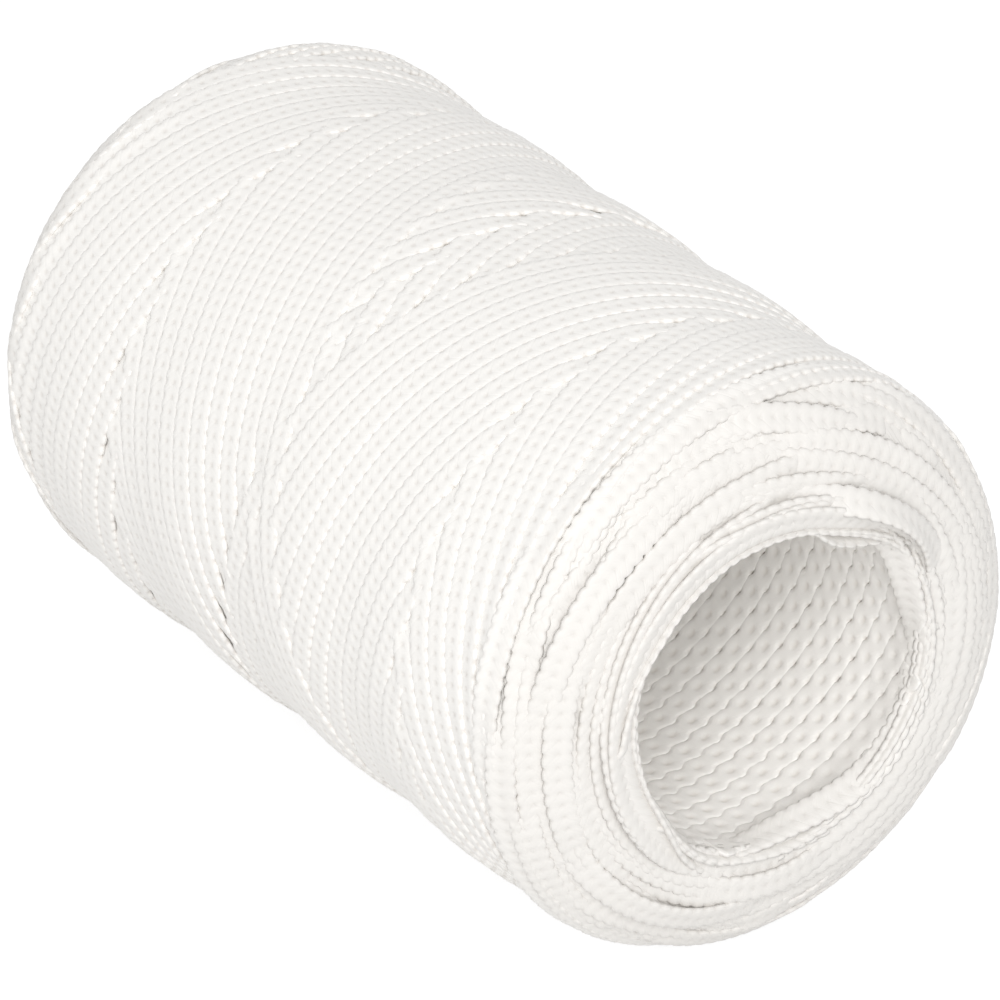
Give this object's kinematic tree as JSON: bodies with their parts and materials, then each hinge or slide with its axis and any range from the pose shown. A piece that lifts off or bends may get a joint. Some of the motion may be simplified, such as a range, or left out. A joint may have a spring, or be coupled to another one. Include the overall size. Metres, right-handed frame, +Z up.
{
  "type": "wound package of braided twine",
  "caption": "Coreless tube-shaped package of white flat braided twine, cross-wound with domed ends round an open spindle bore.",
  "frame": {"origin": "middle of the package's length on the surface that it lies on, straight below the bore's axis", "axes": "+X along the bore towards the front end, +Z up, -Y towards the side that faces the viewer"},
  "size_m": [0.098, 0.06, 0.0598],
  "materials": {
    "bore_twine": "braided synthetic twine, satin white",
    "inner_twine": "braided synthetic twine, satin white",
    "outer_twine": "braided synthetic twine, satin white",
    "end_twine": "braided synthetic twine, satin white"
  },
  "bodies": {
    "root": {"bore_layer": "bore_twine", "inner_layers": "inner_twine", "outer_winding": "outer_twine", "front_end_turns": "end_twine", "rear_end_turns": "end_twine"}
  },
  "joints": []
}
